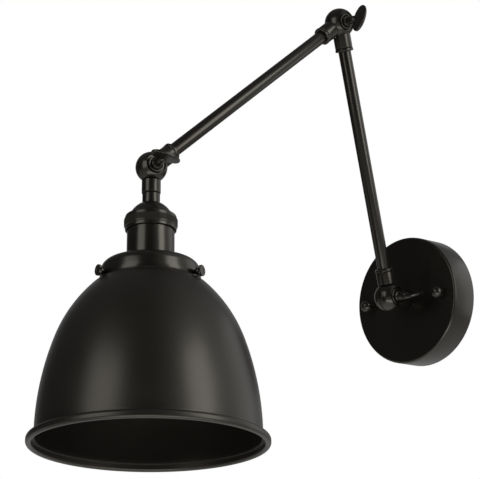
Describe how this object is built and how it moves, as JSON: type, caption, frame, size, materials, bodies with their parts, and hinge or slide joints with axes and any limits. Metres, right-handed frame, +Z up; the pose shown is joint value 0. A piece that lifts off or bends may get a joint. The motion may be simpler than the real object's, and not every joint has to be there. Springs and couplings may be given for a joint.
{
  "type": "articulating wall lamp",
  "caption": "Wall lamp with a round canopy, two tube arms between split-ball knuckles clamped by wing screws, and a socket head with a domed metal shade.",
  "frame": {"origin": "middle of the wall box screw pattern, on the wall plane behind the canopy", "axes": "+Y into the wall, +Z up, the lamp reaches out toward -Y"},
  "size_m": [0.2038, 0.4564, 0.4394],
  "materials": {
    "satin_black": "satin black paint",
    "shade_black": "satin black paint on spun sheet",
    "zinc_steel": "zinc plated",
    "ground_green": "green ground screw",
    "nylon": "natural nylon",
    "fibre": "dark fibre washer",
    "lead_insulation": "insulated lead",
    "porcelain": "glazed porcelain, opaque",
    "brass": "bright brass"
  },
  "bodies": {
    "wall_base": {"canopy": "satin_black", "mounting_bar": "zinc_steel", "canopy_studs": "zinc_steel", "canopy_cap_nuts": "satin_black", "ground_screw": "ground_green", "swivel_slip_washer": "nylon"},
    "swivel_stub": {"stub_knuckle": "satin_black", "swivel_nipple": "zinc_steel", "swivel_spring_washer": "zinc_steel", "swivel_lock_nut": "zinc_steel", "base_cup_washer": "satin_black", "base_spring_washer": "satin_black"},
    "lower_arm": {"lower_arm_root_knuckle": "satin_black", "base_friction_ring": "fibre", "lower_arm_tube": "satin_black", "lower_arm_lock_rings": "satin_black", "lower_arm_leads": "lead_insulation", "lower_arm_tip_knuckle": "satin_black", "elbow_cup_washer": "satin_black", "elbow_spring_washer": "satin_black"},
    "upper_arm": {"upper_arm_root_knuckle": "satin_black", "elbow_friction_ring": "fibre", "upper_arm_tube": "satin_black", "upper_arm_lock_rings": "satin_black", "upper_arm_leads": "lead_insulation", "upper_arm_tip_knuckle": "satin_black", "head_cup_washer": "satin_black", "head_spring_washer": "satin_black"},
    "lamp_head": {"head_knuckle": "satin_black", "head_friction_ring": "fibre", "socket_neck": "satin_black", "socket_neck_nut": "zinc_steel", "socket_cap": "satin_black", "knurled_ring": "satin_black", "socket_shell": "satin_black", "socket_core": "porcelain", "lamp_screw_shell": "brass", "centre_contact": "brass", "terminal_screws": "brass", "shade_holder": "satin_black", "holder_ring": "satin_black", "dome_shade": "shade_black"},
    "base_clamp_screw": {"base_wing_screw": "satin_black"},
    "elbow_clamp_screw": {"elbow_wing_screw": "satin_black"},
    "head_clamp_screw": {"head_wing_screw": "satin_black"},
    "near_left_thumbscrew": {"thumbscrew_near_left": "satin_black"},
    "near_right_thumbscrew": {"thumbscrew_near_right": "satin_black"},
    "rear_thumbscrew": {"thumbscrew_rear": "satin_black"}
  },
  "joints": [
    {"name": "base_swivel", "type": "hinge", "parent": "wall_base", "child": "swivel_stub", "pos_m": [0, -0.028, 0], "axis": [0, -1, 0], "range_deg": [-165, 165]},
    {"name": "base_tilt", "type": "hinge", "parent": "swivel_stub", "child": "lower_arm", "pos_m": [0, -0.0525, 0], "axis": [0.9962, 0, -0.0872], "range_deg": [-20, 90]},
    {"name": "elbow_bend", "type": "hinge", "parent": "lower_arm", "child": "upper_arm", "pos_m": [0.02201, -0.13263, 0.25163], "axis": [-0.984, 0.1261, 0.1262], "range_deg": [-1.2, 112]},
    {"name": "shade_tilt", "type": "hinge", "parent": "upper_arm", "child": "lamp_head", "pos_m": [-0.02507, -0.33298, 0.08471], "axis": [0.9516, -0.2952, 0.0859], "range_deg": [-95, 35]},
    {"name": "base_clamp_turn", "type": "hinge", "parent": "swivel_stub", "child": "base_clamp_screw", "pos_m": [0, -0.0525, 0], "axis": [0.9962, 0, -0.0872], "range_deg": [0, 450]},
    {"name": "elbow_clamp_turn", "type": "hinge", "parent": "lower_arm", "child": "elbow_clamp_screw", "pos_m": [0.02201, -0.13263, 0.25163], "axis": [0.984, -0.1261, -0.1262], "range_deg": [0, 450]},
    {"name": "head_clamp_turn", "type": "hinge", "parent": "upper_arm", "child": "head_clamp_screw", "pos_m": [-0.02507, -0.33298, 0.08471], "axis": [0.9516, -0.2952, 0.0859], "range_deg": [0, 450]},
    {"name": "near_left_thumbscrew_turn", "type": "hinge", "parent": "lamp_head", "child": "near_left_thumbscrew", "pos_m": [-0.02844, -0.38587, -0.01406], "axis": [-0.2169, -0.9735, 0.073], "range_deg": [0, 720]},
    {"name": "rear_thumbscrew_turn", "type": "hinge", "parent": "lamp_head", "child": "rear_thumbscrew", "pos_m": [-0.05176, -0.31193, -0.02209], "axis": [-0.7352, 0.6696, -0.1056], "range_deg": [0, 720]},
    {"name": "near_right_thumbscrew_turn", "type": "hinge", "parent": "lamp_head", "child": "near_right_thumbscrew", "pos_m": [0.02417, -0.32838, -0.01587], "axis": [0.9521, 0.3039, 0.0326], "range_deg": [0, 720]}
  ]
}
